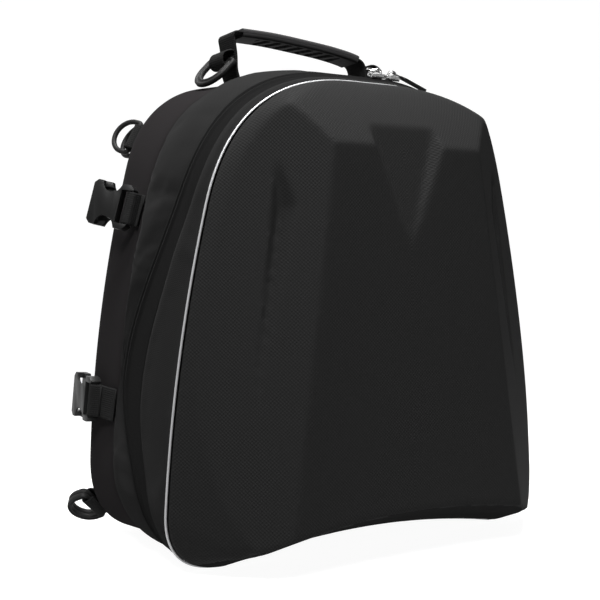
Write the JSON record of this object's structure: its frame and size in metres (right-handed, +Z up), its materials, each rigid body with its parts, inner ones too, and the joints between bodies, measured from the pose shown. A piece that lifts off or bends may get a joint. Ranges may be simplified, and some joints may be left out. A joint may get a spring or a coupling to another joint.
{
  "type": "motorcycle backpack",
  "caption": "Hard-fronted motorcycle backpack with a faceted moulded shell, soft zipped sides, a carrying handle, D-rings and buckle sockets for fastening straps.",
  "frame": {"origin": "middle of the flat underside of the rear compartment, where the bag stands", "axes": "+Z up from the ground, -Y out of the moulded front, +X to the right seen from the front"},
  "size_m": [0.3842, 0.2359, 0.4102],
  "materials": {
    "shell": "moulded foam under a fine diagonal weave",
    "strip": "padded woven polyester",
    "cloth": "woven polyester",
    "webbing": "ribbed webbing",
    "plastic": "moulded, slightly glossy",
    "reflective": "reflective cord",
    "chrome": "plated"
  },
  "bodies": {
    "root": {"front_shell": "shell", "piping": "reflective", "front_band": "strip", "zip_strip": "strip", "rear_band": "strip", "rear_body": "cloth", "loop_upper_left": "webbing", "loop_upper_right": "webbing", "ring_upper_a_left": "plastic", "ring_upper_a_right": "plastic", "ring_upper_b_left": "plastic", "ring_upper_b_right": "plastic", "loop_lower_left": "webbing", "loop_lower_right": "webbing", "ring_lower_a_left": "plastic", "ring_lower_a_right": "plastic", "ring_lower_b_left": "plastic", "ring_lower_b_right": "plastic", "strap_upper_left": "webbing", "strap_upper_right": "webbing", "buckle_upper_left": "plastic", "buckle_upper_right": "plastic", "strap_lower_left": "webbing", "strap_lower_right": "webbing", "buckle_lower_left": "plastic", "buckle_lower_right": "plastic", "handle_strap": "webbing", "handle_grip": "plastic", "ring_top_left": "plastic", "ring_top_right": "plastic", "loop_top_left": "webbing", "loop_top_right": "webbing", "slider_left": "chrome", "slider_right": "chrome", "slider_ring": "chrome", "zip_pull": "plastic"}
  },
  "joints": []
}
